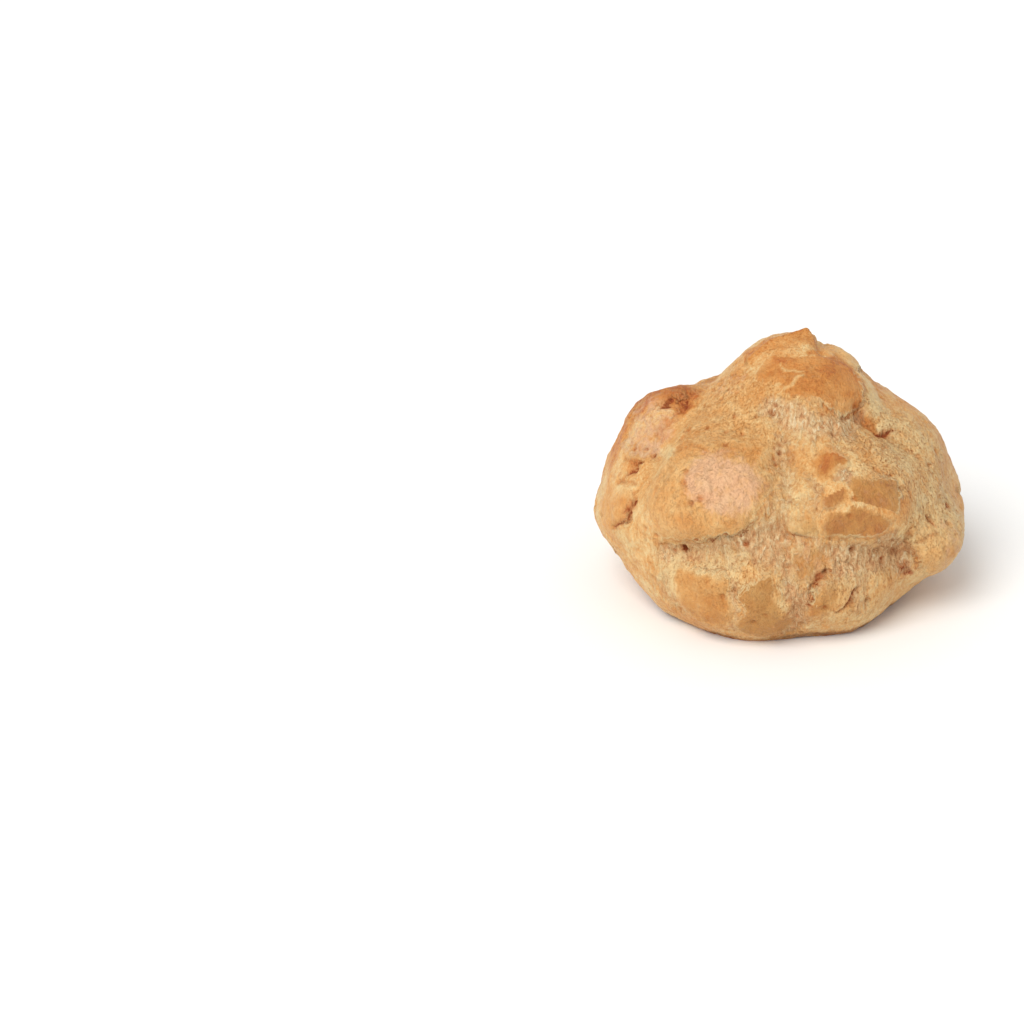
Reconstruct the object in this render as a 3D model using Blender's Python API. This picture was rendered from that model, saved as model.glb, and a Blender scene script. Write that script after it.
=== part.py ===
"""Cream puff: one baked ball of choux pastry, flat underneath and risen into uneven lobes of crust.

The skin is found by casting a line from the heart of the puff in every direction, out to the furthest lobe of
dough. Crust plates then stand proud of it, and folds and tears are pressed into it.
Units are metres, +Z is up, the puff stands on z = 0 and its best side faces -Y.
"""

import math

import bmesh
import bpy
import numpy as np
from mathutils import Vector, noise

MM = 0.001

# Driving dimensions of the finished puff.
WIDTH = 75 * MM
DEPTH = 65 * MM
HEIGHT = 54.5 * MM

# The heart of the puff, from which every direction is measured, in the lobes' own frame.
HEART = np.array([0, 0, 20]) * MM

# How softly one lobe of dough runs into the next.
BLEND = 1.5 * MM

# Faces along each edge of the cube that is blown up into the skin.
SKIN_FACES = 28

# Lobes of dough: centre (x, y, z) and half sizes (x, y, z), in millimetres.
LOBES_MM = {
    "bowl": ((-0.5, 0, 11), (31.5, 30, 19)),
    "dome": ((0, 0, 19), (29.5, 29, 25)),
    "crown": ((3, 1, 27), (19, 19.5, 25.5)),
    "left_flank": ((-17, -2, 19), (19.5, 21, 17.5)),
    "left_chin": ((-27.5, -3, 15), (10.5, 12, 7)),
    "left_shoulder": ((-20, 2, 29), (11.5, 11, 12)),
    "right_flank": ((15, 0, 19.5), (20, 21, 20)),
    "right_foot": ((20, 0, 14.5), (17.5, 18, 11)),
    "right_knuckle": ((28, -10, 15), (8, 9, 7.5)),
    "front_left_cheek": ((-10, -12, 25), (16, 15.5, 13)),
    "front_right_cheek": ((12, -12, 24.5), (16, 15, 13)),
    "back_left": ((-11, 12, 17), (19, 19, 16.5)),
    "back_right": ((10, 12, 18), (18, 19, 16)),
    "back_top": ((1, 12, 26), (13, 14, 13)),
    "top_lip": ((6, 3, 46.5), (3, 4, 7)),
}

# Folds and tears: a path of (azimuth, elevation) in degrees from the heart, then width and depth in millimetres.
FOLDS = {
    "front_tear": ([(-95, -14), (-60, -8), (-36, 1), (0, 6), (30, 4), (48, -6)], 3.5, 1.6),
    "cheek_cleft": ([(4, 52), (3, 30), (0, 6)], 3, 1.6),
    "left_crease": ([(-78, 46), (-62, 20), (-58, 2)], 2.6, 1.8),
    "right_crease": ([(52, 52), (66, 38), (70, 24)], 2.6, 1.6),
    "back_tear": ([(118, 6), (150, 16), (184, 8), (214, 14), (244, 4)], 3.5, 1.6),
    "back_cleft": ([(176, 58), (170, 38), (164, 14)], 3, 1.6),
}

# Plates of crust that stand proud: centre (azimuth, elevation) in degrees, half width, half height and rise in mm.
PLATES = {
    "top": ((40, 60), 13, 7, 0.8),
    "left_cheek": ((-27, 22), 13, 11, 0.8),
    "right_cheek": ((33, 14), 9, 7, 0.8),
    "lower_left": ((-27, -16), 7, 6, 0.8),
    "lower_middle": ((-6, -18), 5.5, 8, 0.8),
    "lower_right": ((19, -17), 5, 5, 0.8),
    "left_side": ((-112, 8), 11, 9, 0.8),
    "right_side": ((108, 2), 12, 9, 0.8),
    "back_low": ((170, -12), 14, 9, 0.8),
    "back_left": ((-145, 28), 12, 8, 0.8),
    "back_right": ((140, 32), 12, 8, 0.8),
}
# Share of a plate's half width over which its rim falls away.
PLATE_RIM = 0.15

# Unevenness of the whole skin: size of the swells and how far they move it.
SWELL_SIZE = 15 * MM
SWELL_RISE = 1.2 * MM

# Baked crust: golden brown, dull with a slight sheen.
CRUST_COLOUR = (0.64, 0.36, 0.13, 1)
CRUST_ROUGHNESS = 0.6


def direction(azimuth, elevation):
    """Unit vector; azimuth 0 faces -Y and 90 faces +X, both in degrees."""
    a, e = math.radians(azimuth), math.radians(elevation)
    return np.array([math.sin(a) * math.cos(e), -math.cos(a) * math.cos(e), math.sin(e)])


def exit_distance(directions, centre, half_sizes):
    """How far a line from the heart runs before it leaves this ellipsoid, or 0 where it misses."""
    to_centre = (HEART - centre) / half_sizes
    scaled = directions / half_sizes
    a = (scaled * scaled).sum(axis=1)
    b = scaled @ to_centre
    c = to_centre @ to_centre - 1
    root = np.sqrt(np.maximum(b * b - a * c, 0))
    return np.where(b * b > a * c, np.maximum((root - b) / a, 0), 0)


def reach(directions):
    """Distance from the heart to the skin in each direction: the furthest lobe, softly blended."""
    total = 0
    for centre, half_sizes in LOBES_MM.values():
        distance = exit_distance(directions, np.array(centre) * MM, np.array(half_sizes) * MM)
        total = total + np.exp(distance / BLEND)
    return BLEND * np.log(total)


def distance_to_path(directions, path, radius):
    """Distance along the skin from each direction to a path of directions."""
    nearest = np.full(len(directions), np.inf)
    ends = [direction(*p) for p in path]
    for start, end in zip(ends, ends[1:]):
        along = end - start
        share = np.clip(((directions - start) @ along) / (along @ along), 0, 1)
        spot = start + share[:, None] * along
        spot /= np.linalg.norm(spot, axis=1)[:, None]
        nearest = np.minimum(nearest, np.linalg.norm(directions - spot, axis=1))
    return nearest * radius


def plate_cover(directions, centre, half_width, half_height, radius):
    """1 on a plate of crust, 0 off it, with a soft rim between."""
    outward = direction(*centre)
    sideways = direction(centre[0] + 90, 0)
    upward = np.cross(outward, sideways)
    x = (directions @ sideways) * radius / (half_width * MM)
    y = (directions @ upward) * radius / (half_height * MM)
    inside = (1 - np.hypot(x, y)) / PLATE_RIM + 0.5
    return np.where(directions @ outward > 0, np.clip(inside, 0, 1), 0)


def skin_points(directions):
    """The point of the skin in each direction, in the lobes' own frame."""
    radius = reach(directions)
    relief = np.zeros(len(directions))
    for centre, half_width, half_height, rise in PLATES.values():
        relief += rise * MM * plate_cover(directions, centre, half_width, half_height, radius)
    for path, width, depth in FOLDS.values():
        away = distance_to_path(directions, path, radius)
        relief -= depth * MM * np.exp(-((away / (width * MM)) ** 2))
    points = HEART + directions * radius[:, None]
    relief += SWELL_RISE * np.array([noise.noise(Vector(p) / SWELL_SIZE) for p in points])
    return points + directions * relief[:, None]


def blown_up_cube():
    """A sphere of nearly even quads, as a bmesh."""
    skin = bmesh.new()
    bmesh.ops.create_cube(skin, size=2)
    bmesh.ops.subdivide_edges(skin, edges=skin.edges[:], cuts=SKIN_FACES - 1, use_grid_fill=True)
    for vertex in skin.verts:
        vertex.co = [math.tan(c * math.pi / 4) for c in vertex.co]
        vertex.co.normalize()
    return skin


def cut_flat_underneath(skin):
    """Cut the skin at z = 0 and close it with one flat face, as the baking tray leaves it."""
    cut = bmesh.ops.bisect_plane(
        skin,
        geom=skin.verts[:] + skin.edges[:] + skin.faces[:],
        plane_co=(0, 0, 0),
        plane_no=(0, 0, -1),
        clear_outer=True,
    )
    rim = [e for e in cut["geom_cut"] if isinstance(e, bmesh.types.BMEdge)]
    bmesh.ops.edgeloop_fill(skin, edges=rim)
    bmesh.ops.recalc_face_normals(skin, faces=skin.faces[:])


def bring_to_size(skin):
    """Scale the skin to the driving dimensions, with the middle of its underside at the origin."""
    points = np.array([v.co[:] for v in skin.verts])
    low, high = points.min(axis=0), points.max(axis=0)
    middle = np.array([(low[0] + high[0]) / 2, (low[1] + high[1]) / 2, 0])
    scale = np.array([WIDTH, DEPTH, HEIGHT]) / (high - low)
    for vertex, point in zip(skin.verts, (points - middle) * scale):
        vertex.co = point


def crust_material():
    """Baked choux crust."""
    material = bpy.data.materials.new("baked_crust")
    material.use_nodes = True
    shader = material.node_tree.nodes["Principled BSDF"]
    shader.inputs["Base Color"].default_value = CRUST_COLOUR
    shader.inputs["Roughness"].default_value = CRUST_ROUGHNESS
    shader.inputs["Metallic"].default_value = 0
    return material


def main():
    """Model the puff as one closed solid."""
    for old in list(bpy.data.objects):
        bpy.data.objects.remove(old)
    skin = blown_up_cube()
    directions = np.array([v.co[:] for v in skin.verts])
    for vertex, point in zip(skin.verts, skin_points(directions)):
        vertex.co = point
    cut_flat_underneath(skin)
    bring_to_size(skin)
    mesh = bpy.data.meshes.new("puff")
    skin.to_mesh(mesh)
    skin.free()
    mesh.shade_smooth()
    mesh.materials.append(crust_material())
    puff = bpy.data.objects.new("puff", mesh)
    bpy.context.collection.objects.link(puff)


main()
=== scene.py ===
"""Looks of the cream puff: the craggy skin of baked choux pastry, its golden crust and torn crumb.

The skin is a dense closed mesh, grown outwards from the heart of the puff onto the CAD solid. Plates of
crust stand proud of it, and tears and cracks are pressed into it. The marks, attributes that the material
reads, say what kind of surface each spot is. Places on the skin are given as (azimuth, elevation) in degrees
as seen from the heart: azimuth 0 faces -Y, the best side, and 90 faces +X. Sizes are in millimetres, unless
a comment says otherwise.
"""
import math
from functools import partial
from typing import NamedTuple

import bmesh
import bpy
import numpy as np
from mathutils import Matrix, Vector, noise
from mathutils.bvhtree import BVHTree


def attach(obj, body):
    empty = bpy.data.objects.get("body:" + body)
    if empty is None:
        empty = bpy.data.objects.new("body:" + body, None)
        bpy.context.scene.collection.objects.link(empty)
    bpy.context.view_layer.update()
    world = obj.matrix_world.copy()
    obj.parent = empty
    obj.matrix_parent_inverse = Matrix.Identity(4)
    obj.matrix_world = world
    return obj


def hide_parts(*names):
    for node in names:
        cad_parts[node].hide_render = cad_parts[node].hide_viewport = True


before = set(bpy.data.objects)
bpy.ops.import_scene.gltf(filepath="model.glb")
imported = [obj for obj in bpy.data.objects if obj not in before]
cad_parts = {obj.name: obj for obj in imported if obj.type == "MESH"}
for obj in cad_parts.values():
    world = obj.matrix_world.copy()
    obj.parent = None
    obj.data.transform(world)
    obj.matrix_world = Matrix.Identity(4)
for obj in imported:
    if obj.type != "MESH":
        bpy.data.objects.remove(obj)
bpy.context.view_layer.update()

MM = 0.001

# Where every direction is measured from, how far away the skin is on average, and how fine it is: the faces
# along each edge of a blown-up cube.
HEART = np.array([0, 0, 20])
MEAN_RADIUS = 34
SKIN_FACES = 127

# How many times the solid's form is evened out before the skin's own detail goes on, which softens it over
# about 2 mm. Its rim at the foot stays sharp, and the softening sets in between these two heights.
SOFTENING = 40
SOFTENED_FROM = (0.5, 6)

# The direction from which the puff shows best. The plates and tears on this side are listed one by one.
BEST_VIEW = (0, 28)

# A plate's sharpest edge fades over this far to each side, and past the far distance no edge matters. A
# plate narrower than this share of its distance from the heart has a tidier outline than a large one. Each
# side of an outline loses this share at both ends, where its corners are cut off.
EDGE_WIDTH = 0.3
FAR_FROM_EDGE = 3
RAGGED_FROM = 0.35
CORNER_CUT = 0.2

# A direction is laid on a plane as if it faced it by at least this cosine, so that none is thrown far off.
LEAST_FACING = 0.2

# What Blender's fractal noises take: how fast they fade from one octave to the next and how much finer that
# is, and for the ridged one its octaves, offset and gain too. Noises that have to differ are this far apart.
FRACTAL = (1.0, 2.0)
RIDGED = (*FRACTAL, 3, 1.0, 2.0)
NOISE_APART = 17.3

# The cosines of the angles within which a plate, the flap at the top and a pit are felt.
NEAR_PLATE = 0.6
NEAR_FLAP = 0.92
NEAR_PIT = 0.998

# How far out something on the skin is full, and where it has faded away, as shares of its half width or of
# its radius.
TEAR_FADE = (0.3, 1.6)
PATCH_FADE = (0.55, 1.3)
HOLE_FADE = (0.4, 1.2)
HOLE_PAINTED_SHADE_FADE = (0.5, 1.3)
PIT_FADE = (0.2, 1.4)
PIT_PAINTED_SHADE_FADE = (0.3, 1.4)


# ----------------------------------------------------------------------------------------------------
# Directions, distances and noise on the skin
# ----------------------------------------------------------------------------------------------------


def outward(azimuth, elevation):
    """Unit vector of a direction from the heart."""
    a, e = math.radians(azimuth), math.radians(elevation)
    return np.array([math.sin(a) * math.cos(e), -math.cos(a) * math.cos(e), math.sin(e)])


def unit(vectors):
    """The same vectors, one long."""
    return vectors / np.linalg.norm(vectors, axis=-1, keepdims=True)


def ramp(values, low, high):
    """0 below low, 1 above high, smooth between."""
    t = np.clip((values - low) / (high - low), 0, 1)
    return t * t * (3 - 2 * t)


def bell(values, width):
    """1 at 0, falling away on both sides."""
    return np.exp(-((values / width) ** 2))


def grain(points, size, shift=0.0, octaves=1):
    """Noise at the points, between about -1 and 1, with lumps of this size. The shift picks a part of it."""
    moved = points / size + shift
    if octaves == 1:
        return np.array([noise.noise(p) for p in moved])
    return np.array([noise.fractal(p, *FRACTAL, octaves) for p in moved])


def ridges(points, size, shift=0.0):
    """Noise of sharp threads at the points, about 0 to 1."""
    moved = points / size + shift
    return np.array([noise.ridged_multi_fractal(p, *RIDGED) for p in moved]) / 2


def wander(points, size, amount, shift=0.0):
    """The points moved about by up to this amount, so that an outline drawn on them turns out ragged."""
    moves = [grain(points, size, shift + NOISE_APART * k) for k in range(3)]
    return points + amount * np.stack(moves, axis=1)


def rounded(outline):
    """A closed outline with its corners cut off."""
    after = np.roll(outline, -1, axis=0)
    cut = CORNER_CUT * (after - outline)
    return np.stack([outline + cut, after - cut], axis=1).reshape(-1, 2)


def lay_flat(directions, middle):
    """Where directions meet the plane that faces the middle one, one away: sideways and upwards from it."""
    sideways = unit(np.cross([0, 0, 1], middle))
    upwards = np.cross(middle, sideways)
    facing = np.maximum(directions @ middle, LEAST_FACING)
    return np.stack([directions @ sideways / facing, directions @ upwards / facing], axis=1)


def depth_inside(spots, outline):
    """Distance from each spot on a plane to a closed outline: positive inside, negative outside."""
    nearest = np.full(len(spots), np.inf)
    inside = np.zeros(len(spots), bool)
    for start, end in zip(outline, np.roll(outline, -1, axis=0)):
        along = end - start
        from_start = spots - start
        share = np.clip(from_start @ along / (along @ along), 0, 1)
        nearest = np.minimum(nearest, np.hypot(*(from_start - share[:, None] * along).T))
        crosses = (start[1] > spots[:, 1]) != (end[1] > spots[:, 1])
        if along[1]:
            at = start[0] + (spots[:, 1] - start[1]) * along[0] / along[1]
            inside ^= crosses & (spots[:, 0] < at)
    return np.where(inside, nearest, -nearest)


def route(path):
    """A path of (azimuth, elevation, half width), as (direction, half width)."""
    return [(outward(azimuth, elevation), width) for azimuth, elevation, width in path]


def away_from_path(directions, radius, path):
    """Distance along the skin to a path of (direction, half width), as a share of its half width there."""
    nearest = np.full(len(directions), np.inf)
    for (start, start_width), (end, end_width) in zip(path, path[1:]):
        along = end - start
        share = np.clip((directions - start) @ along / (along @ along), 0, 1)
        gap = np.linalg.norm(directions - unit(start + share[:, None] * along), axis=1) * radius
        nearest = np.minimum(nearest, gap / (start_width + share * (end_width - start_width)))
    return nearest


# ----------------------------------------------------------------------------------------------------
# What is on the skin
# ----------------------------------------------------------------------------------------------------


class Look(NamedTuple):
    """How a plate looks: crust that stayed whole while the dough around it tore, and stands proud of it."""

    rise: float  # how far its lip stands out
    bake: float  # 0 pale, 1 dark
    lip: tuple  # the way its free lip faces
    rim: float = 0.5  # how pale its rim is, 0 to 1
    soft: float = 0  # how far its other sides fade into the skin


# The plates on the best side: the (azimuth, elevation) of their corners, and their look. Where two overlap,
# the later one lies on top.
PLATES = {
    "top_shelf": (
        [(69, 76), (72, 69), (82, 62), (97, 57), (117, 57), (135, 64), (112, 72)],
        Look(rise=0.6, bake=0.2, lip=(1, 0, 0), rim=0.2, soft=4),
    ),
    "crown_plate": (
        [(-36, 75), (-26, 81), (-6, 83), (30, 79), (55, 75), (77, 67), (76, 60), (74, 55), (66, 51),
         (59, 50), (52, 50), (42, 52), (37, 54), (31, 58), (17, 61), (8, 63), (3, 68), (-22, 71)],
        Look(rise=0.5, bake=0.68, lip=(0.3, 0, -1), rim=0.8),
    ),
    "left_cheek": (
        [(-52, 33), (-40, 41), (-20, 44), (-8, 41), (-4, 34), (-3, 26), (-5, 20), (-8, 17), (-11, 12),
         (-16, 9.5), (-21, 8.5), (-26, 6), (-34, 4), (-42, 3), (-49, 8), (-53, 20)],
        Look(rise=0.8, bake=0.34, lip=(0.35, 0, -1), rim=0.9, soft=9),
    ),
    "sunken_skin": (
        [(5, 3), (13, 4), (19, 1), (19, -5), (15, -8), (8, -9), (4, -5)],
        Look(rise=0.1, bake=0.6, lip=(-1, 0, 0.5), rim=0.6, soft=1),
    ),
    "pale_flap": (
        [(3, 11), (5, 14), (11, 15), (17, 14), (18, 8), (11, 8), (5, 9)],
        Look(rise=0.6, bake=0.22, lip=(-0.5, 0, -1), soft=3),
    ),
    "tan_plate": (
        [(25, 22), (27, 26), (32, 28), (37, 26), (43, 25), (48, 22), (46, 19), (47.5, 17), (43.5, 14),
         (42, 10), (30, 9), (25, 14), (24, 18)],
        Look(rise=0.3, bake=0.7, lip=(1, 0, 0.2), rim=0.8, soft=0.8),
    ),
    "gold_plate": (
        [(17, 8), (17, 14), (19, 17), (24, 16), (26, 18), (38, 13), (41, 10), (38, 6), (28, 6)],
        Look(rise=0.3, bake=0.82, lip=(0, 0, -1), rim=0.8, soft=0.4),
    ),
    "small_plate": (
        [(16, 22), (20, 26), (25, 27), (26, 22), (22, 18), (16, 19)],
        Look(rise=0.2, bake=0.95, lip=(-0.5, 0, -1), rim=0.3, soft=0.4),
    ),
    "browned_spot": (
        [(17, 36), (23, 40), (29, 39), (33, 35), (31, 31), (26, 32), (20, 29), (17, 32)],
        Look(rise=0.2, bake=0.84, lip=(1, 0, 0.6), rim=0.5, soft=1.5),
    ),
    "lower_left": (
        [(-41, -6), (-38, -5), (-31, -6), (-21, -5), (-16, -8), (-16, -16), (-17, -25), (-31, -25),
         (-36, -18)],
        Look(rise=0.35, bake=0.5, lip=(0.4, 0, 1), rim=0.8, soft=1),
    ),
    "lower_middle": (
        [(-14, -11), (-10, -8), (-7, -5), (-2, -4), (-1, -11), (0, -17), (6, -23), (3, -31), (-15, -29),
         (-14, -22), (-11, -16)],
        Look(rise=0.35, bake=0.62, lip=(-0.8, 0, 0.6), rim=0.8, soft=1),
    ),
    "lower_right": (
        [(12, -10), (16, -8), (20, -10), (22, -14), (18, -19), (12, -24), (9, -21), (12, -17)],
        Look(rise=0.7, bake=0.55, lip=(-1, 0, 0.6), rim=1, soft=2),
    ),
    "left_side": (
        [(-81, 8), (-64, 14), (-58, 11), (-61, 7), (-58, 4), (-63, -2), (-73, -6), (-80, -1)],
        Look(rise=0.5, bake=0.35, lip=(1, -1, 0), rim=0.3, soft=3),
    ),
    "shoulder": (
        [(-112, 44), (-104, 50), (-92, 49), (-86, 44), (-84, 38), (-96, 34)],
        Look(rise=0.8, bake=0.62, lip=(1, -1, 0), rim=0.2, soft=2),
    ),
    "knuckle": (
        [(51, 0), (58, 5), (66, 1), (70, -8), (66, -16), (57, -17), (53, -9)],
        Look(rise=0.4, bake=0.25, lip=(-1, 0, 0), rim=0.4, soft=3),
    ),
}

# The faces of the flap at the very top: a point that each passes through, and how much it climbs along X and
# Y. The last value is how brown they are.
FLAP_CORNER = (6, 2.5, 54.7)
FLAP_LEFT_END = (-4, 2.5, 50.3)
FLAP_FACES = {
    "top": (FLAP_CORNER, 0.38, -0.55),
    "right": (FLAP_CORNER, -1.6, -0.55),
    "front": (FLAP_CORNER, 0, 0.9),
    "back": (FLAP_CORNER, 0, -0.9),
    "left": (FLAP_LEFT_END, 0.78, -0.3),
}
FLAP_BAKE = 0.67

# Torn bands where the crumb shows: a path of (azimuth, elevation, half width), the depth, and how stringy
# the crumb is.
TEARS = {
    "belt": ([(-43, -3, 2), (-31, -1, 2.5), (-22, 1, 3), (-12, 5, 4), (-2, 7, 5), (6, 2, 5), (14, -1, 4),
              (24, -2, 4), (36, -4, 3), (45, -8, 2.5)], 0.8, 0.4),
    "rift": ([(3, 50, 1.5), (2, 42, 2.4), (1, 36, 3), (0, 28, 3.6), (-2, 20, 4), (-5, 14, 4)], 0.6, 0.2),
    "under_crown_plate": ([(-7, 61, 2), (12, 55, 3), (26, 50, 3.2), (42, 47, 3), (57, 49, 2.2)], 0.6, 1),
    "left": ([(-82, 24, 1.6), (-71, 25, 2.2), (-64, 27, 1.8)], 0.6, 0.2),
    "knuckle_recess": ([(40, 3, 2.2), (44, -2, 2.8), (47, -8, 3.2), (49, -12, 2)], 0.5, 0.3),
    "lower_centre": ([(4, -10, 2), (8, -14, 2.6), (9, -19, 2.4), (6, -25, 2.6), (4, -29, 2)], 0.8, 0.3),
    "beside_spot": ([(28, 29, 1.6), (30, 26, 1.2)], 0.3, 0.2),
    "left_of_spot": ([(14, 30, 1.4), (16, 24, 2.4), (12, 18, 2.6)], 0.3, 0.2),
    "low_strands": ([(30, -8, 2), (31, -15, 2.6), (30, -22, 2)], 0.3, 1),
    "right_flank": ([(58, 26, 8), (68, 14, 9), (64, 4, 7)], 0.2, 0.6),
    "below_shoulder": ([(-92, 38, 3), (-82, 33, 4), (-73, 29, 3)], 0.3, 0.2),
    "seam": ([(-16, -9, 1.2), (-15, -16, 1), (-15, -24, 1), (-15, -29, 1)], 0.2, 1),
    "low_left_strands": ([(-45, -5, 2.5), (-43, -14, 2.5), (-38, -24, 2)], 0.2, 1),
    "above_spot": ([(10, 44, 2), (22, 42, 2), (34, 40, 2), (46, 36, 2)], 0.2, 0.5),
}
# How much of the crumb shows in a tear that isn't fully open.
PARTLY_TORN = {
    "under_crown_plate": 0.9, "rift": 0.6, "right_flank": 0.2, "left_of_spot": 0.5, "low_strands": 0.5,
    "below_shoulder": 0.3, "seam": 0.6, "low_left_strands": 0.35, "above_spot": 0.3, "left": 0.4,
}

# Patches with another finish, soft at the edges: a path of (azimuth, elevation, half width), the mark that
# differs there, the value it moves towards, and how much of the way it moves.
PATCHES = {
    "flap_front": ([(-101, 80, 2), (0, 88, 2.2), (99, 80, 1.8)], "bake", 0.75, 0.9),
    "cheek_blush": ([(-27, 28, 6), (-18, 26, 6)], "blush", 1, 0.9),
    "cheek_brow": ([(-49, 35, 1.2), (-31, 38.5, 1.6), (-13, 41, 1.8)], "bake", 0.62, 0.6),
    "crown_left": ([(-60, 62, 6), (-40, 50, 6)], "bake", 0.5, 0.5),
    "crown_left_blush": ([(-69, 66, 3), (-56, 69, 3)], "blush", 0.6, 0.6),
    "crown_vein": ([(4, 77, 0.25), (10, 74, 0.4), (20, 74, 0.35), (30, 71, 0.25)], "bake", 0.1, 0.8),
    "lower_crown_vein": ([(8, 66, 0.5), (19, 68, 0.4), (24, 70, 0.3)], "bake", 0.1, 0.8),
    "crown_tongue": ([(42, 54, 1.2), (50, 53, 1.8), (57, 53, 1.2)], "bake", 0.35, 0.8),
    "crown_edge": ([(60, 76, 1.2), (77, 66, 1.5), (74, 56, 1.5)], "bake", 0.95, 0.7),
    "left_rim": ([(-98, 40, 5), (-91, 28, 4), (-88, 15, 4)], "bake", 0.85, 0.9),
    "left_whole": ([(-90, 12, 4), (-92, 0, 4), (-92, -12, 4)], "torn", 0, 0.8),
    "lower_left_rim": ([(-92, 8, 4), (-95, -3, 4), (-95, -15, 4)], "bake", 0.5, 0.8),
    "left_pale": ([(-84, 4, 4), (-78, -5, 4)], "bake", 0.1, 0.6),
    "left_cream": ([(-63, 30, 1.6), (-52, 31, 1.4)], "bake", -0.1, 0.9),
    "left_blush": ([(-80, 24, 2.5), (-68, 27, 2)], "blush", 0.7, 0.8),
    "lower_left_cream": ([(-50, -4, 2), (-42, -8, 2.5), (-40, -16, 1.5)], "bake", 0.05, 0.8),
    "right_flank": ([(62, 34, 8), (72, 18, 10), (62, 6, 6)], "bake", 0.15, 0.7),
    "right_crease_bake": ([(57, 52, 1), (59, 47, 1.5), (62, 42, 1.5), (61, 38, 1)], "bake", 0.95, 0.85),
    "belt_left": ([(-38, -4, 3), (-22, -3, 2.5), (-14, 0, 2)], "torn", 0.3, 0.7),
    "belt_left_cream": ([(-38, -4, 3), (-22, -3, 2.5), (-14, 0, 2)], "bake", 0, 0.8),
    # A greyer tan on the plates low on the best side and on the sunken skin, partly painted shade.
    "right_plates_tan_and_painted_shade": ([(18, 10, 6), (30, 20, 8), (42, 16, 6)], "tan", 1, 1),
    "lower_middle_tan_and_painted_shade": ([(-7, -14, 7), (-5, -24, 9)], "tan", 1.2, 1),
    "lower_left_tan_and_painted_shade": ([(-34, -20, 9), (-22, -16, 7)], "tan", 0.4, 1),
    "lower_right_tan_and_painted_shade": ([(16, -12, 5), (16, -19, 5)], "tan", 0.7, 1),
    "lower_centre_shade": ([(8, -16, 3), (6, -26, 4)], "dark", 0.15, 1),
    "sunken_tan_and_painted_shade": ([(10, 1, 5), (12, -5, 5)], "tan", 0.7, 1),
    "sunken_rough": ([(9, 1, 4.5), (12, -4, 5)], "torn", 0.45, 0.9),
    "shoulder_bake": ([(-94, 51, 2.6), (-86, 48, 2.8), (-81, 45, 2)], "bake", 0.95, 0.8),
    "tan_plate_blush": ([(33, 23, 4), (40, 20, 4)], "blush", 0.4, 0.6),
    "sunken_blush": ([(9, 1, 4), (12, -4, 4)], "blush", 0.4, 0.6),
    "shoulder_blush": ([(-84, 36, 4), (-74, 32, 4)], "blush", 0.8, 0.7),
    "right_cream": ([(86, 58, 2.5), (81, 50, 3), (76, 44, 3)], "bake", 0, 0.7),
    "knuckle_blush": ([(66, -4, 4), (64, -10, 4)], "blush", 0.6, 0.6),
    "right_flank_pits": ([(58, 30, 11), (70, 14, 12), (62, 4, 9)], "pitted", 1, 1),
    "crown_pits": ([(-45, 60, 8), (-30, 50, 8), (60, 50, 6)], "pitted", 0.35, 1),
    "belt_pits": ([(-40, -5, 4), (30, -12, 9), (45, -14, 6)], "pitted", 0.5, 1),
    # Painted shade in the recess by the knuckle.
    "recess_painted_shade": ([(50, -12, 1), (52, -15, 1.3)], "dark", 0.75, 1),
    "spot_rim": ([(33, 33, 0.7), (30, 29, 0.9), (25, 28, 0.6)], "bake", 0, 0.7),
    "cheek_wrinkles": ([(-34, 24, 10), (-14, 28, 9)], "wrinkled", 1, 1),
    "crown_wrinkles": ([(-50, 56, 9), (-30, 52, 9)], "wrinkled", 0.8, 1),
    "flank_wrinkles": ([(62, 40, 9), (70, 18, 12), (62, -6, 9)], "wrinkled", 1, 1),
}
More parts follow.
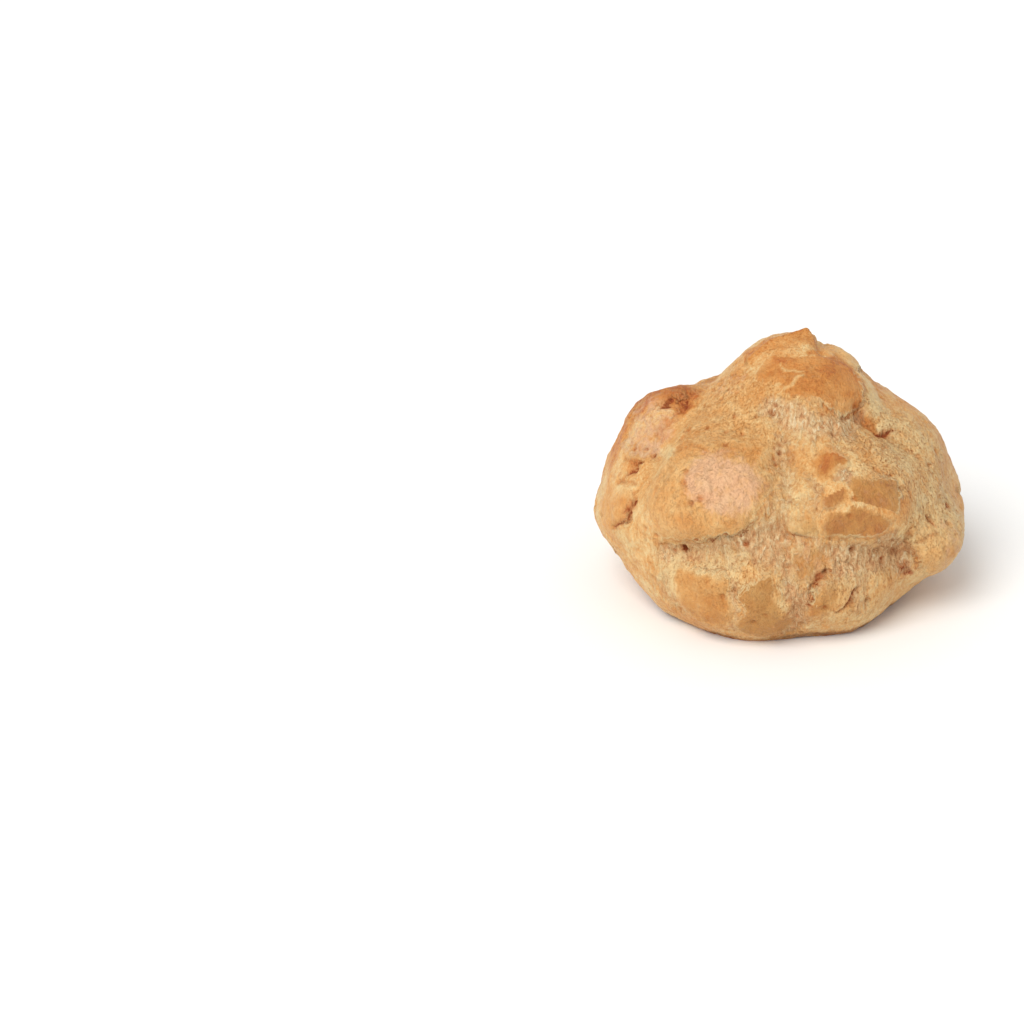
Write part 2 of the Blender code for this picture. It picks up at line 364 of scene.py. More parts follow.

# Cracks and creases: a path of (azimuth, elevation, half width), the depth and their painted shade.
CRACKS = {
    "flap_foot": ([(83, 75, 2), (115, 73, 2.2), (137, 66, 2)], 1.8, 0),
    "shoulder_crease": ([(-118, 58, 2), (-104, 56, 2), (-93, 52, 1.6), (-86, 48, 1.4), (-81, 44, 1)],
                        1.3, 0.3),
    "shoulder_saddle": ([(-100, 54, 2.5), (-118, 57, 4), (-140, 58, 5)], 0.9, 0),
    "shoulder_bar": ([(-91, 50, 0.4), (-86, 48, 0.8), (-80, 45, 0.7)], 0.6, 1),
    "shoulder_slit": ([(-87, 45, 0.4), (-84, 42, 0.6), (-82, 40, 0.3)], 0.6, 0.95),
    "crease_tail": ([(-78, 43, 0.5), (-75, 40, 0.5), (-74, 36, 0.4), (-70, 32, 0.5)], 0.4, 0.45),
    "right_crease": ([(57, 52, 1.2), (59, 47, 1.5), (62, 42, 1.3), (61, 38, 1)], 0.8, 0.4),
    "right_crease_tail": ([(61, 37, 0.7), (66, 35, 0.8), (73, 35, 0.3)], 0.7, 1),
    "brow_line": ([(-52, 33, 0.3), (-42, 37, 0.5), (-30, 38, 0.4), (-18, 41, 0.3)], 0.25, 0.25),
    "left_hollow": ([(-69, 16, 0.3), (-68, 18, 0.9), (-70, 20.5, 0.7), (-67, 22, 0.3)], 1.2, 1),
    "left_hollow_arm": ([(-76, 20, 0.3), (-72, 20, 0.5), (-69, 19, 0.5)], 0.6, 0.6),
    "left_hook": ([(-71, 13, 0.3), (-66, 14.5, 0.4), (-62, 16, 0.3)], 0.5, 0.4),
    "left_crack": ([(-58, 11, 0.3), (-61, 7, 0.6), (-59, 5, 0.5), (-62, 1, 0.5), (-65, -1, 0.4)], 0.8, 0.8),
    "slit": ([(29, -14, 0.4), (26, -17, 0.6), (22, -20, 0.3)], 0.8, 0.9),
    "flap_crevice": ([(11, -10, 0.4), (16, -7, 0.7), (19, -6, 0.5)], 0.8, 0.8),
    "sunken_edge": ([(4, 3, 0.4), (3.5, -1, 0.5), (4, -6, 0.4)], 0.3, 0.4),
    "chin_fold": ([(-75, -4, 0.8), (-68, -7, 1), (-60, -10, 0.8)], 0.3, 0.1),
    "knuckle_fold": ([(50, 3, 0.5), (51, -3, 0.6), (53, -8, 0.5)], 0.5, 0.5),
    "knuckle_edge": ([(53, -2, 0.3), (56, -1.5, 0.3), (60, -1, 0.3)], 0.4, 0.4),
    "right_dash": ([(59.5, 4, 0.3), (60, 1, 0.4)], 0.5, 0.9),
    "upper_right_dash": ([(49, 19, 0.3), (51, 15, 0.4)], 0.4, 0.6),
}

# Holes where a bubble has burst: azimuth, elevation, radius, depth and painted shade, from orange to brown.
HOLES = [
    (-37, -1, 0.9, 1, 1), (-41, -3, 0.5, 0.6, 0.7), (-12, 5.5, 0.8, 0.6, 0.8), (-66, 26, 0.5, 0.6, 0.8),
    (-75, 24, 0.4, 0.4, 0.8), (-71, 26.5, 0.4, 0.4, 0.7), (-82, 20, 0.4, 0.4, 0.7), (42, -8, 1, 0.5, 0.6),
    (51, -14, 1.2, 0.3, 0.6), (48, -6, 0.6, 0.4, 0.6), (11, -17, 0.5, 0.5, 0.8), (72, 3, 0.7, 0.6, 1),
    (47, 24, 0.4, 0.4, 0.6), (1, 42, 0.6, 0.5, 0.8), (-1, 37, 0.4, 0.5, 0.7), (-60, 66, 0.4, 0.4, 0.6),
]

# The hidden side, where nothing is placed by hand. This many flakes of crust and holes are spread all round,
# and only those on the far side from the best view are made, and only above the lowest: the least z that
# their direction may have.
FLAKES = 70
LOWEST_FLAKE = -0.5
HIDDEN_HOLES = 40
LOWEST_HOLE = -0.4

# What differs from flake to flake lies between two values: how far its corners are from its middle, its
# look, and the depth, the stringiness and the openness of the torn band along its lip.
FLAKE_CORNERS = 9
FLAKE_REACH = (4, 10)
FLAKE_LOOK = {"rise": (0.2, 0.9), "bake": (0.25, 0.7), "rim": (0.2, 0.8), "soft": (0.5, 6)}
FLAKE_TEAR = ((0.2, 0.8), (0, 1), (0.2, 1))

# The course of that band: corners, counted from the foremost one, and the band's half width there.
FLAKE_BAND = ((-2, 0.8), (-1, 2), (0, 3), (1, 2), (2, 0.8))

# This share of the flakes has a crack from one of its corners, of so many steps, this long as seen from the
# heart.
CRACKED_SHARE = 0.4
CRACK_STEPS = 3
CRACK_STEP = 0.05

# A hole on the hidden side: its least and greatest radius, its depth, and its painted shade, from least to
# most.
HIDDEN_HOLE_RADIUS = (0.4, 0.9)
HIDDEN_HOLE_DEPTH = 0.7
HIDDEN_HOLE_PAINTED_SHADE = (0.5, 1)

# Pits scattered all over: how many, their least and greatest radius, and their painted shade.
PITS = 220
PIT_RADIUS = (0.35, 0.7)
PIT_PAINTED_SHADE = 0.5

# The low swells of bare skin: how far they stand out, the size of their lumps, and their part of the noise.
SWELLS = ((0.4, 7, 0), (0.2, 2.6, 3), (0.14, 1.2, 8))

# Threads in the dough are drawn out upwards, by noise that sees its points flattened.
FLATTENED = (1, 1, 0.6)


class Skin:
    """The skin as it is worked on: a direction and a radius for each vertex, its relief, and its marks.

    Most marks run from 0 to 1. The edge is the distance from a plate's edge, positive on the plate, soft is
    how far that edge fades to each side, and shake is how much its outline wanders.
    """

    MARKS = ("bake", "plate_bake", "edge", "soft", "shake", "lip", "rim", "torn", "strings", "blush",
             "pitted", "wrinkled", "tan", "dark", "burnt")

    def __init__(self, directions, radius):
        self.directions = directions
        self.radius = radius
        self.points = HEART + directions * radius[:, None]
        self.ragged = unit(wander(wander(self.points, 4, 0.8), 1.5, 0.7, shift=5) - HEART)
        self.relief = np.zeros(len(radius))
        self.marks = {name: np.zeros(len(radius)) for name in self.MARKS}
        self.marks["edge"] -= FAR_FROM_EDGE

    def blend(self, name, value, share, at=slice(None)):
        """Move a mark towards a value by a share."""
        mark = self.marks[name]
        mark[at] += (value - mark[at]) * share

    def lift(self, name, share, at=slice(None)):
        """Lift a mark to at least this share."""
        mark = self.marks[name]
        mark[at] = np.maximum(mark[at], share)


def bare_skin(skin):
    """The stretched skin that all else lies on: swells and wrinkles, browner at the top and at the foot, the
    foot partly with painted shade.
    """
    height = skin.points[:, 2]
    for rise, size, shift in SWELLS:
        skin.relief += rise * grain(skin.points, size, shift)
    wrinkled = ramp(grain(skin.points, 8, 21), -0.3, 0.4)
    skin.relief += 0.45 * wrinkled * (ridges(skin.points * FLATTENED, 2.6, 9) - 0.5)
    skin.marks["wrinkled"] += 0.6 * ramp(grain(skin.points, 9, 60), -0.3, 0.4)
    hidden = ramp(-skin.directions @ outward(*BEST_VIEW), -0.2, 0.1)
    skin.marks["tan"] += 0.7 * hidden * ramp(grain(skin.points, 14, 70), -0.2, 0.4)
    # Browner towards the foot, partly painted shade.
    foot = 1 - ramp(height, 2, 18)
    bake = 0.25 + 0.15 * ramp(height, 10, 50) + 0.1 * foot
    skin.marks["bake"] += bake + 0.3 * grain(skin.points, 8, 7, octaves=3)


def peak_flap(skin):
    """The flap of crust at the top, a torn corner that climbs from the left and breaks off on the right."""
    upper = np.flatnonzero(skin.directions @ unit(np.array(FLAP_CORNER) - HEART) > NEAR_FLAP)
    directions = skin.directions[upper]
    roof = np.full(len(upper), np.inf)
    for point, climb_x, climb_y in FLAP_FACES.values():
        slope = np.array([-climb_x, -climb_y, 1])
        facing = directions @ slope
        reach = ((point - HEART) @ slope) / np.maximum(facing, 0.1)
        roof = np.where(facing > 0.1, np.minimum(roof, reach), roof)
    above = roof - skin.radius[upper]

    # Where the faces are above the skin, it climbs to them and keeps less than half of its relief. The
    # passage between is soft.
    climb = above - 0.6 * skin.relief[upper]
    taken = np.clip(0.5 + 0.6 * climb, 0, 1)
    skin.relief[upper] += taken * (climb + 0.8 * (1 - taken))
    share = ramp(above, -0.8, 0.3)
    skin.blend("bake", FLAP_BAKE, share, upper)
    skin.blend("plate_bake", FLAP_BAKE, share, upper)
    skin.blend("torn", 0, share, upper)


def tear(skin, path, depth, stringy, share):
    """A band where the crust has torn and the rough crumb shows, fading out at its sides."""
    cover = share * (1 - ramp(away_from_path(skin.ragged, skin.radius, path), *TEAR_FADE))
    skin.relief -= depth * cover
    skin.lift("torn", cover)
    skin.lift("strings", stringy * cover)


def patch(skin, path, name, value, share):
    """A patch where a mark differs, soft at its edge."""
    cover = 1 - ramp(away_from_path(skin.ragged, skin.radius, path), *PATCH_FADE)
    skin.blend(name, value, share * cover)
    if name == "bake":
        skin.blend("plate_bake", value, share * cover)


def plate(skin, corners, look):
    """A plate of smooth crust inside its corners: a sharp lip on one side, and softer edges elsewhere."""
    middle = unit(corners.mean(axis=0))
    near = np.flatnonzero(skin.directions @ middle > NEAR_PLATE)
    outline = lay_flat(corners, middle)
    raggedness = min(1, np.ptp(outline, axis=0).min() / RAGGED_FROM)
    directions = unit(skin.directions[near] + raggedness * (skin.ragged[near] - skin.directions[near]))
    spots = lay_flat(directions, middle)
    inside = depth_inside(spots, rounded(outline)) * skin.radius[near]
    lip_spot = lay_flat((middle + 0.01 * np.array(look.lip))[None], middle)[0]
    free = (0.5 + 0.5 * unit(spots) @ unit(lip_spot)) ** 2
    width = EDGE_WIDTH + look.soft * (1 - free)
    cover = ramp(inside / width, -1, 1)

    # The plate swells a little behind its edge, and a groove follows the foot of its lip.
    height = look.rise * (free + 0.3 * (1 - free) / (1 + look.soft))
    skin.relief[near] += height * (cover + 0.3 * ramp(inside, 0, 3))
    skin.relief[near] -= 0.5 * height * free * bell(inside + 0.7, 0.5)
    skin.blend("torn", 0, cover, near)
    # A plate clears any painted shade laid before it.
    skin.blend("dark", 0, cover, near)
    values = {
        "edge": np.maximum(inside, -FAR_FROM_EDGE),
        "plate_bake": look.bake + 0.1 * ramp(inside, 0, 2.5),
        "soft": width,
        "shake": np.full(len(near), raggedness),
        "lip": np.minimum(1, 1.6 * height) * free,
        "rim": look.rim * free,
    }
    here = inside > -2 * width
    for name, value in values.items():
        skin.marks[name][near[here]] = value[here]


def crack(skin, path, depth, dark):
    """A narrow crack or crease, darkened with painted shade."""
    away = away_from_path(skin.ragged, skin.radius, path)
    skin.relief -= depth * bell(away, 0.8)
    skin.lift("dark", dark * bell(away, 0.9))


def hole(skin, middle, size, depth, dark):
    """A hole where a bubble has burst, darkened with painted shade."""
    gap = np.linalg.norm(skin.directions - middle, axis=1) * skin.radius / size
    skin.relief -= depth * (1 - ramp(gap, *HOLE_FADE))
    skin.lift("dark", dark * (1 - ramp(gap, *HOLE_PAINTED_SHADE_FADE)))


def spread_directions(count, rng, jitter):
    """Directions spread evenly over a ball and then shaken a little."""
    k = np.arange(count) + 0.5
    turn = math.pi * (1 + math.sqrt(5)) * k
    z = 1 - 2 * k / count
    flat = np.sqrt(1 - z * z)
    spread = np.stack([flat * np.cos(turn), flat * np.sin(turn), z], axis=1)
    return unit(spread + jitter * rng.normal(size=spread.shape))


def flake(middle, rng):
    """The corners of a flake of crust round its middle, its look, and the torn band along its lip."""
    sideways = unit(np.cross([0, 0, 1], middle))
    upwards = np.cross(middle, sideways)

    # The corners are spread evenly round the middle and then shaken.
    turns = np.arange(FLAKE_CORNERS) + rng.uniform(-0.3, 0.3, FLAKE_CORNERS)
    turns = 2 * math.pi * turns / FLAKE_CORNERS
    size = rng.uniform(*FLAKE_REACH) / MEAN_RADIUS
    reach = size * rng.uniform(0.65, 1.25, FLAKE_CORNERS)[:, None]
    arms = reach * (np.cos(turns)[:, None] * sideways + np.sin(turns)[:, None] * upwards)

    # The lip faces down, more or less, and the band runs just outside the corners there.
    lip = unit(rng.normal(size=3) * 0.7 - [0, 0, 1])
    look = Look(lip=lip, **{name: rng.uniform(*span) for name, span in FLAKE_LOOK.items()})
    foremost = int(np.argmax(unit(arms) @ lip))
    band = [
        (unit(middle + 1.1 * arms[(foremost + step) % FLAKE_CORNERS]), width * rng.uniform(0.6, 1.4))
        for step, width in FLAKE_BAND
    ]
    return unit(middle + arms), look, band


def is_hidden(direction, lowest):
    """Whether a direction points to the far side from the best view, and not too low."""
    return direction @ outward(*BEST_VIEW) < 0 and direction[2] > lowest


def hidden_side(skin, rng):
    """The sides and the back: flakes of crust of all sizes over torn bands, much as on the best side."""
    middles = [m for m in spread_directions(FLAKES, rng, 0.12) if is_hidden(m, LOWEST_FLAKE)]
    flakes = [flake(middle, rng) for middle in middles]
    for _, _, band in flakes:
        tear(skin, band, *(rng.uniform(*span) for span in FLAKE_TEAR))
    for corners, look, _ in flakes:
        plate(skin, corners, look)
        if rng.uniform() < CRACKED_SHARE:
            # The crack starts at a corner and wanders on, a little narrower.
            start = corners[rng.integers(FLAKE_CORNERS)]
            steps = start + np.cumsum(rng.normal(size=(CRACK_STEPS, 3)) * CRACK_STEP, axis=0)
            crack(skin, [(start, 0.5)] + [(unit(step), 0.4) for step in steps], 0.6, 0.5)
    for middle in spread_directions(HIDDEN_HOLES, rng, 0.2):
        if is_hidden(middle, LOWEST_HOLE):
            size = rng.uniform(*HIDDEN_HOLE_RADIUS)
            hole(skin, middle, size, HIDDEN_HOLE_DEPTH, rng.uniform(*HIDDEN_HOLE_PAINTED_SHADE))


def pit(skin, middle, size):
    """A small pit at a direction, darkened with painted shade."""
    near = np.flatnonzero(skin.directions @ middle > NEAR_PIT)
    gap = np.linalg.norm(skin.directions[near] - middle, axis=1) * skin.radius[near] / size
    skin.relief[near] -= size * (1 - ramp(gap, *PIT_FADE))
    skin.lift("dark", PIT_PAINTED_SHADE * (1 - ramp(gap, *PIT_PAINTED_SHADE_FADE)), near)


def crumb_relief(skin):
    """The rough threads of torn crumb, and the lumps under them."""
    torn = skin.marks["torn"]
    threads = ridges(skin.points * FLATTENED, 2.2)
    calm = 1 - 0.6 * skin.marks["strings"]
    skin.relief += torn * (calm * (1.6 * threads - 0.8) + 0.5 * grain(skin.points, 1.3, 4))


def underside(skin):
    """The flat base, brown from the tray, and a burnt band just above its rim, stronger in places."""
    height = skin.points[:, 2]
    base = 1 - ramp(height, 0.05, 0.5)
    skin.relief *= 1 - base
    skin.blend("torn", 0.2, base)
    skin.blend("bake", 0.9 + 0.2 * grain(skin.points, 6, 31, octaves=3), base)
    skin.blend("edge", -FAR_FROM_EDGE, base)
    patchy = ramp(grain(skin.points, 9, 40), -0.5, 0.3)
    skin.lift("burnt", (0.5 + 0.5 * patchy) * bell(height - 1, 1.1))


def dress(skin):
    """Everything on the skin, in the order in which it lies."""
    rng = np.random.default_rng(7)
    bare_skin(skin)
    hidden_side(skin, rng)
    for name, (path, depth, stringy) in TEARS.items():
        tear(skin, route(path), depth, stringy, PARTLY_TORN.get(name, 1))
    for outline, look in PLATES.values():
        plate(skin, np.array([outward(*corner) for corner in outline]), look)
    peak_flap(skin)
    for path, name, value, share in PATCHES.values():
        patch(skin, route(path), name, value, share)
    for path, depth, dark in CRACKS.values():
        crack(skin, route(path), depth, dark)
    for azimuth, elevation, size, depth, dark in HOLES:
        hole(skin, outward(azimuth, elevation), size, depth, dark)
    for middle in spread_directions(PITS, rng, 0.2):
        pit(skin, middle, rng.uniform(*PIT_RADIUS))
    crumb_relief(skin)
    underside(skin)


# ----------------------------------------------------------------------------------------------------
# The skin's mesh
# ----------------------------------------------------------------------------------------------------


def solid_surface():
    """The CAD solid's own surface, joined to quads and smoothed, to lay the skin on."""
    shape = bmesh.new()
    shape.from_mesh(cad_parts["puff"].data)
    bmesh.ops.remove_doubles(shape, verts=shape.verts[:], dist=0.01 * MM)
    bmesh.ops.join_triangles(
        shape,
        faces=shape.faces[:],
        angle_face_threshold=math.radians(40),
        angle_shape_threshold=math.radians(60),
    )
    mesh = bpy.data.meshes.new("solid")
    shape.to_mesh(mesh)
    shape.free()
    solid = bpy.data.objects.new("solid", mesh)
    bpy.context.collection.objects.link(solid)
    smooth = solid.modifiers.new("smooth", "SUBSURF")
    smooth.levels = smooth.render_levels = 2
    surface = BVHTree.FromObject(solid, bpy.context.evaluated_depsgraph_get())
    bpy.data.objects.remove(solid)
    return surface


def fine_ball():
    """A ball of nearly even quads, as a bmesh."""
    ball = bmesh.new()
    bmesh.ops.create_cube(ball, size=2)
    bmesh.ops.subdivide_edges(ball, edges=ball.edges[:], cuts=SKIN_FACES - 1, use_grid_fill=True)
    for vertex in ball.verts:
        vertex.co = [math.tan(c * math.pi / 4) for c in vertex.co]
        vertex.co.normalize()
    ball.verts.index_update()
    return ball


def evened(values, ball, rounds):
    """Values at the ball's vertices, each made the mean of itself and its neighbours, again and again."""
    pairs = np.array([[v.index for v in edge.verts] for edge in ball.edges])
    ends = np.concatenate([pairs, pairs[:, ::-1]])
    count = 1 + np.bincount(ends[:, 0])
    for _ in range(rounds):
        values = (values + np.bincount(ends[:, 0], values[ends[:, 1]])) / count
    return values


def make_skin():
    """The puff's skin as one closed mesh, with its marks as attributes."""
    surface = solid_surface()
    ball = fine_ball()
    directions = np.array([v.co[:] for v in ball.verts])
    heart = Vector(HEART * MM)
    radius = np.array([surface.ray_cast(heart, Vector(d))[3] for d in directions]) / MM

    # The skin starts as the solid's surface, softened everywhere but at the foot.
    softened = ramp(HEART[2] + directions[:, 2] * radius, *SOFTENED_FROM)
    radius += softened * (evened(radius, ball, SOFTENING) - radius)
    skin = Skin(directions, radius)
    dress(skin)

    # Nothing sinks below the flat base.
    points = skin.points + skin.directions * skin.relief[:, None]
    points[:, 2] = np.maximum(points[:, 2], 0)
    for vertex, point in zip(ball.verts, points * MM):
        vertex.co = point
    bmesh.ops.recalc_face_normals(ball, faces=ball.faces[:])
    mesh = bpy.data.meshes.new("choux_skin")
    ball.to_mesh(mesh)
    ball.free()
    mesh.shade_smooth()
    for name, values in skin.marks.items():
        mark = mesh.attributes.new(name, "FLOAT", "POINT")
        mark.data.foreach_set("value", values)
    piece = bpy.data.objects.new("choux_skin", mesh)
    bpy.context.collection.objects.link(piece)
    return piece


# ----------------------------------------------------------------------------------------------------
# Materials
# ----------------------------------------------------------------------------------------------------


def colour(hex_code):
    """An sRGB hex colour as linear red, green, blue and alpha."""
    parts = [int(hex_code[i : i + 2], 16) / 255 for i in (1, 3, 5)]
    return [p / 12.92 if p <= 0.04045 else ((p + 0.055) / 1.055) ** 2.4 for p in parts] + [1]


# The crust from pale to browned, and the crumb from its hollows, partly painted shade, to its threads.
CRUST_COLOURS = [(0, "#E9C88F"), (0.3, "#E3B070"), (0.55, "#DA9B57"), (0.8, "#CF8640"), (1, "#BA682D")]
CRUMB_COLOURS = [(0, "#BD8154"), (0.35, "#DBA672"), (0.7, "#EEC995"), (1, "#FAE1B6")]

# The patterns in the dough: the size of their lumps in millimetres, how many times as tall as wide they are
# drawn out, and how twisted they are.
PATTERNS = {
    "mottle": (4, 1, 0.5),
    "weave": (2.2, 2, 1.5),
    "pulled": (1, 3, 1.0),
    "strings": (0.7, 7, 0.5),
    "wrinkles": (2.6, 1.5, 2.0),
    "fine": (0.7, 1, 0.0),
    "grit": (0.4, 1.5, 0.0),
}

# Blender's fractal noise stays between these two values nearly everywhere.
NOISE_SPAN = (0.33, 0.67)


def add_node(material, kind, settings=None, out=0, **links):
    """Add a node with its settings, give its inputs their values or links, and return one of its outputs."""
    node = material.node_tree.nodes.new(kind)
    for name, value in (settings or {}).items():
        if name == "stops":
            elements = node.color_ramp.elements
            for k, (position, code) in enumerate(value):
                element = elements[k] if k < len(elements) else elements.new(position)
                element.position = position
                element.color = colour(code)
        else:
            setattr(node, name, value)
    for name, value in links.items():
        key = int(name[1:]) if name[0] == "_" else name.replace("_", " ")
        socket = node.inputs[key]
        if isinstance(value, bpy.types.NodeSocket):
            material.node_tree.links.new(value, socket)
        else:
            socket.default_value = value
    return node.outputs[out]


# Settings that many nodes share. With PLUS, a node adds its first two values' product to its third.
PLUS = {"operation": "MULTIPLY_ADD"}
ADD = {"operation": "ADD"}
MINUS = {"operation": "SUBTRACT"}
TIMES = {"operation": "MULTIPLY"}
GREATER = {"operation": "MAXIMUM"}
SIZE_OF = {"operation": "ABSOLUTE"}
SMOOTH = {"interpolation_type": "SMOOTHSTEP"}
COLOURS = {"data_type": "RGBA"}


def choux_crust():
    """Baked choux pastry, rich in egg: golden and faintly glossy where whole, pale and dull where torn."""
    material = bpy.data.materials.new("baked_choux_crust")
    material.use_nodes = True
    shader = material.node_tree.nodes["Principled BSDF"]
    links = material.node_tree.links
    add = partial(add_node, material)

    place = add("ShaderNodeTexCoord", out="Object")
    mark = {name: add("ShaderNodeAttribute", {"attribute_name": name}, "Fac") for name in Skin.MARKS}

    # Each pattern runs from -1 to 1.
    pattern = {}
    for name, (size, drawn_out, twist) in PATTERNS.items():
        drawn = add("ShaderNodeMapping", Vector=place, Scale=(1, 1, 1 / drawn_out))
        lumps = add("ShaderNodeTexNoise", Vector=drawn, Scale=1 / (size * MM), Detail=4.0,
                    Roughness=0.65, Distortion=twist)
        pattern[name] = add("ShaderNodeMapRange", Value=lumps, From_Min=NOISE_SPAN[0],
                            From_Max=NOISE_SPAN[1], To_Min=-1.0)

    # The crumb: a tangle of threads, or strings where it was drawn out, from 0 in its hollows to 1.
    threads = add("ShaderNodeMath", SIZE_OF, _0=pattern["weave"])
    threads = add("ShaderNodeMapRange", Value=threads, From_Max=0.4, To_Min=0.68, To_Max=0.32)
    tangle = add("ShaderNodeMath", PLUS, _0=pattern["pulled"], _1=0.5, _2=threads)
    strings = add("ShaderNodeMath", PLUS, _0=pattern["strings"], _1=0.55, _2=0.55)
    crumb = add("ShaderNodeMix", _0=mark["strings"], _2=tangle, _3=strings)

    # A plate's edge is crisp and ragged, most of all at its lip. The distance from the edge, shaken by the
    # patterns, says which side of it a spot is on.
    shake = add("ShaderNodeMath", TIMES, _0=mark["shake"], _1=0.6)
    shake = add("ShaderNodeMath", PLUS, _0=mark["lip"], _1=0.5, _2=shake)
    edge = add("ShaderNodeMath", PLUS, _0=pattern["weave"], _1=shake, _2=mark["edge"])
    edge = add("ShaderNodeMath", PLUS, _0=pattern["fine"], _1=0.3, _2=edge)
    inner = add("ShaderNodeMath", TIMES, _0=mark["soft"], _1=0.8)
    outer = add("ShaderNodeMath", TIMES, _0=mark["soft"], _1=-0.8)
    on_plate = add("ShaderNodeMapRange", SMOOTH, Value=edge, From_Min=outer, From_Max=inner)

    # The bake, shaken less on the smooth plates than on the skin between them.
    bake = add("ShaderNodeMix", _0=on_plate, _2=mark["bake"], _3=mark["plate_bake"])
    bake = add("ShaderNodeMath", PLUS, _0=pattern["mottle"], _1=0.18, _2=bake)
    calm = add("ShaderNodeMapRange", Value=on_plate, To_Min=-0.18, To_Max=-0.06)
    bake = add("ShaderNodeMath", PLUS, _0=pattern["pulled"], _1=calm, _2=bake)
    bake = add("ShaderNodeMath", PLUS, _0=pattern["grit"], _1=calm, _2=bake)
    base = add("ShaderNodeValToRGB", {"stops": CRUST_COLOURS}, Fac=bake)

    # Where the crumb shows: it breaks up into patches towards the sides of a tear.
    torn = add("ShaderNodeMath", PLUS, _0=pattern["weave"], _1=0.25, _2=mark["torn"])
    torn = add("ShaderNodeMath", PLUS, _0=pattern["fine"], _1=0.15, _2=torn)
    torn = add("ShaderNodeMapRange", SMOOTH, Value=torn, From_Min=0.05, From_Max=0.95)
    crumb_colour = add("ShaderNodeValToRGB", {"stops": CRUMB_COLOURS}, Fac=crumb)

    # Relief too fine for the mesh, in millimetres: the crust's grain, wrinkles and pits, the crumb's
    # threads, and the step at a lip.
    height = add("ShaderNodeMath", TIMES, _0=pattern["fine"], _1=0.08)
    height = add("ShaderNodeMath", PLUS, _0=pattern["pulled"], _1=0.07, _2=height)
    height = add("ShaderNodeMath", PLUS, _0=pattern["grit"], _1=0.03, _2=height)
    # Painted shade in the hollows of the grain.
    painted_grain_shade = add("ShaderNodeMapRange", SMOOTH, Value=height, From_Min=-0.04, From_Max=-0.18, To_Max=0.35)
    wrinkles = add("ShaderNodeMath", SIZE_OF, _0=pattern["wrinkles"])
    wrinkles = add("ShaderNodeMapRange", SMOOTH, Value=wrinkles, From_Max=0.12, To_Min=1.0, To_Max=0.0)
    wrinkles = add("ShaderNodeMath", TIMES, _0=wrinkles, _1=mark["wrinkled"])
    height = add("ShaderNodeMath", PLUS, _0=wrinkles, _1=-0.06, _2=height)
    pits = add("ShaderNodeMapRange", SMOOTH, Value=pattern["grit"], From_Min=-0.5, From_Max=-0.85)
    pits = add("ShaderNodeMath", TIMES, _0=pits, _1=mark["pitted"])
    quiet = add("ShaderNodeMapRange", Value=on_plate, To_Min=1.0, To_Max=0.4)
    pits = add("ShaderNodeMath", TIMES, _0=pits, _1=quiet)
    height = add("ShaderNodeMath", PLUS, _0=pits, _1=-0.15, _2=height)
    fibres = add("ShaderNodeMath", TIMES, _0=torn, _1=crumb)
    height = add("ShaderNodeMath", PLUS, _0=fibres, _1=0.35, _2=height)
    step = add("ShaderNodeMath", TIMES, _0=on_plate, _1=mark["lip"])
    height = add("ShaderNodeMath", PLUS, _0=step, _1=0.25, _2=height)

    # A thin pale line along a plate's lip, and a line of painted shadow under it.
    rim = add("ShaderNodeMath", MINUS, _0=edge, _1=0.2)
    rim = add("ShaderNodeMath", SIZE_OF, _0=rim)
    rim = add("ShaderNodeMapRange", SMOOTH, Value=rim, From_Max=0.55, To_Min=1.0, To_Max=0.0)
    rim = add("ShaderNodeMath", TIMES, _0=rim, _1=mark["rim"])
    under = add("ShaderNodeMath", ADD, _0=edge, _1=0.4)
    under = add("ShaderNodeMath", SIZE_OF, _0=under)
    under = add("ShaderNodeMapRange", SMOOTH, Value=under, From_Max=0.5, To_Min=0.8, To_Max=0.0)
    under = add("ShaderNodeMath", TIMES, _0=under, _1=mark["lip"])

    # Painted shade in cracks, holes, under a lip, in the hollows of the grain, in pits and in wrinkles.
    dark = add("ShaderNodeMath", GREATER, _0=mark["dark"], _1=under)
    broken = add("ShaderNodeMapRange", Value=pattern["pulled"], From_Min=-1.0, To_Min=1.4, To_Max=0.6)
    dark = add("ShaderNodeMath", TIMES, _0=dark, _1=broken)
    deep_painted_shade = add("ShaderNodeMapRange", SMOOTH, Value=dark, From_Min=0.5, From_Max=0.95)
    painted_grain_shade = add("ShaderNodeMath", TIMES, _0=painted_grain_shade, _1=quiet)
    dark = add("ShaderNodeMath", GREATER, _0=dark, _1=painted_grain_shade)
    dark = add("ShaderNodeMath", PLUS, _0=pits, _1=0.8, _2=dark)
    dark = add("ShaderNodeMath", PLUS, _0=wrinkles, _1=0.1, _2=dark)
    height = add("ShaderNodeMath", PLUS, _0=dark, _1=-0.15, _2=height)

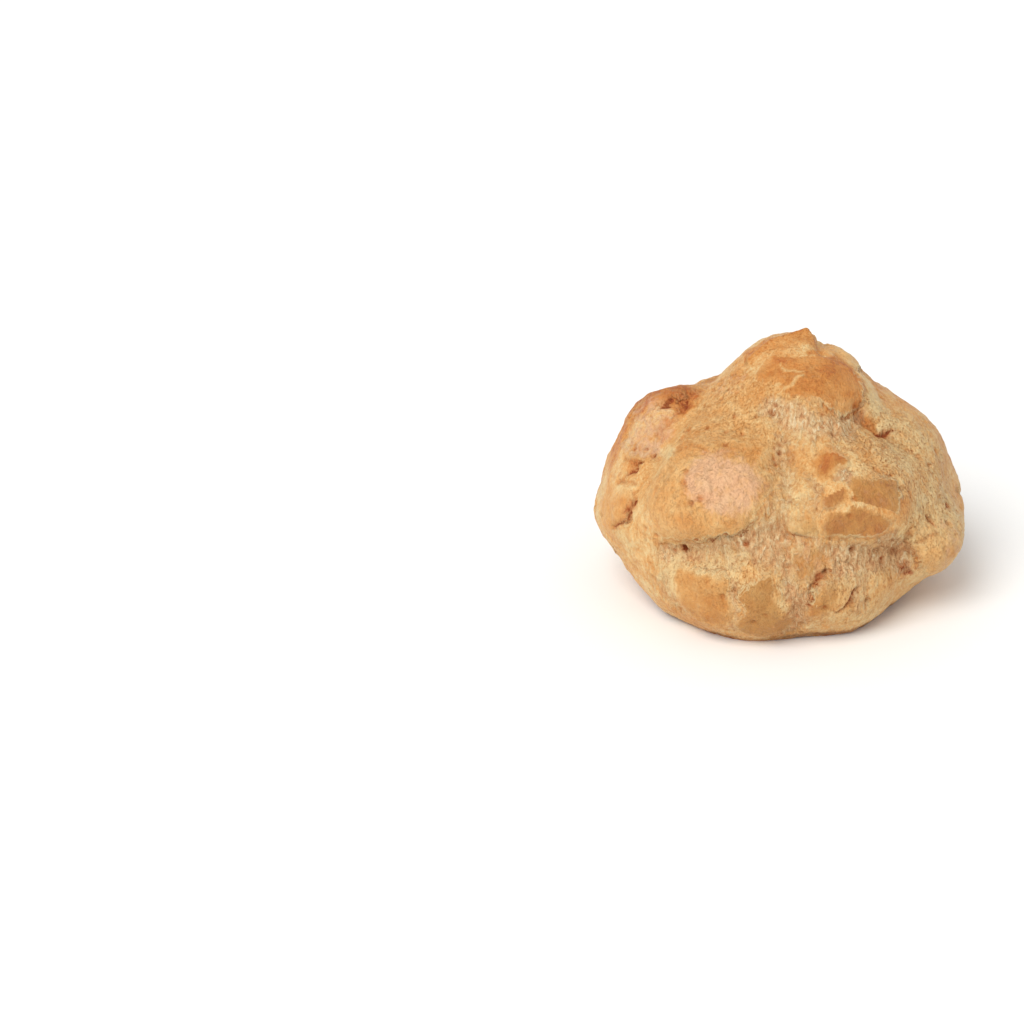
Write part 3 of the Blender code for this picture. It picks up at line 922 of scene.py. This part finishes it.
    # The finishes on the crust, a pink blush, a burnt band and a greyer tan, partly painted shade on the
    # lower plates, and then all that lies over it.
    blush = add("ShaderNodeMath", PLUS, _0=pattern["weave"], _1=0.3, _2=mark["blush"])
    blush = add("ShaderNodeMapRange", SMOOTH, Value=blush, From_Min=0.2, To_Max=0.6)
    burnt = add("ShaderNodeMath", PLUS, _0=pattern["fine"], _1=0.25, _2=mark["burnt"])
    burnt = add("ShaderNodeMapRange", SMOOTH, Value=burnt, From_Min=0.1, From_Max=1.2, To_Max=0.8)
    tan = add("ShaderNodeMath", TIMES, _0=on_plate, _1=mark["tan"])
    tan = add("ShaderNodeMath", TIMES, _0=tan, _1=0.45)
    layers = (
        (tan, colour("#AB844C")),
        (torn, crumb_colour),
        (blush, colour("#EBBC99")),
        (rim, colour("#EFD19A")),
        (dark, colour("#C4723A")),
        (deep_painted_shade, colour("#9A4A1E")),
        (burnt, colour("#844C26")),
    )
    for share, over in layers:
        base = add("ShaderNodeMix", COLOURS, 2, _0=share, _6=base, _7=over)
    links.new(base, shader.inputs["Base Color"])
    rough = add("ShaderNodeMath", PLUS, _0=pattern["fine"], _1=0.1, _2=torn)
    links.new(add("ShaderNodeMapRange", Value=rough, To_Min=0.45, To_Max=0.9), shader.inputs["Roughness"])
    shader.inputs["Specular IOR Level"].default_value = 0.3
    links.new(add("ShaderNodeBump", Height=height, Strength=1.0, Distance=MM), shader.inputs["Normal"])
    return material


def plain_floor():
    """Matt white paper, without any shine."""
    material = bpy.data.materials.new("matt_white_paper")
    material.use_nodes = True
    shader = material.node_tree.nodes["Principled BSDF"]
    shader.inputs["Base Color"].default_value = colour("#F8F8F6")
    shader.inputs["Roughness"].default_value = 0.9
    return material


# ----------------------------------------------------------------------------------------------------
# Camera, floor and light
# ----------------------------------------------------------------------------------------------------

# The camera stands straight in front and looks down this many degrees. It is turned aside by the next two
# angles, so that the puff is off centre.
LOOK_DOWN = 28
TURN_LEFT = 5.341
TILT_UP = 1.329
LENS = 100
CAMERA_DISTANCE = 585.3
FLOOR_SIZE = 6000

# Light: the room's brightness and the key's, where the key comes from (azimuth, elevation), and how broad it
# is in degrees.
ROOM_LIGHT = 0.67
KEY_LIGHT = 2.1
KEY_FROM = (-32, 50)
KEY_SPREAD = 40


def set_camera():
    """A camera with a long lens, in front of the puff."""
    camera = bpy.data.objects.new("camera", bpy.data.cameras.new("camera"))
    camera.data.lens = LENS
    camera.data.clip_start = 0.01
    bpy.context.collection.objects.link(camera)
    back = Vector(outward(0, LOOK_DOWN))
    facing = back.to_track_quat("Z", "Y").to_matrix().to_4x4()
    turned = Matrix.Rotation(math.radians(TURN_LEFT), 4, "Y")
    tilted = Matrix.Rotation(math.radians(TILT_UP), 4, "X")
    camera.matrix_world = Matrix.Translation(back * CAMERA_DISTANCE * MM) @ facing @ turned @ tilted
    bpy.context.scene.camera = camera


def set_floor():
    """A wide white floor under the puff."""
    sheet = bmesh.new()
    bmesh.ops.create_grid(sheet, size=FLOOR_SIZE * MM / 2)
    mesh = bpy.data.meshes.new("floor")
    sheet.to_mesh(mesh)
    sheet.free()
    mesh.materials.append(plain_floor())
    floor = bpy.data.objects.new("floor", mesh)
    bpy.context.collection.objects.link(floor)


def set_light():
    """Plain soft studio light: a broad key from the upper left and a white room all round."""
    world = bpy.data.worlds.new("white_room")
    bpy.context.scene.world = world
    world.use_nodes = True
    room = world.node_tree.nodes["Background"]
    room.inputs["Color"].default_value = (1, 1, 1, 1)
    room.inputs["Strength"].default_value = ROOM_LIGHT
    key = bpy.data.objects.new("key", bpy.data.lights.new("key", "SUN"))
    key.data.energy = KEY_LIGHT
    key.data.angle = math.radians(KEY_SPREAD)
    key.rotation_euler = Vector(outward(*KEY_FROM)).to_track_quat("Z", "Y").to_euler()
    bpy.context.collection.objects.link(key)
    bpy.context.scene.view_settings.view_transform = "Standard"


# ----------------------------------------------------------------------------------------------------
# Making it all
# ----------------------------------------------------------------------------------------------------

set_camera()
set_floor()
set_light()
skin_piece = make_skin()
skin_piece.data.materials.append(choux_crust())
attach(skin_piece, "root")
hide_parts("puff")
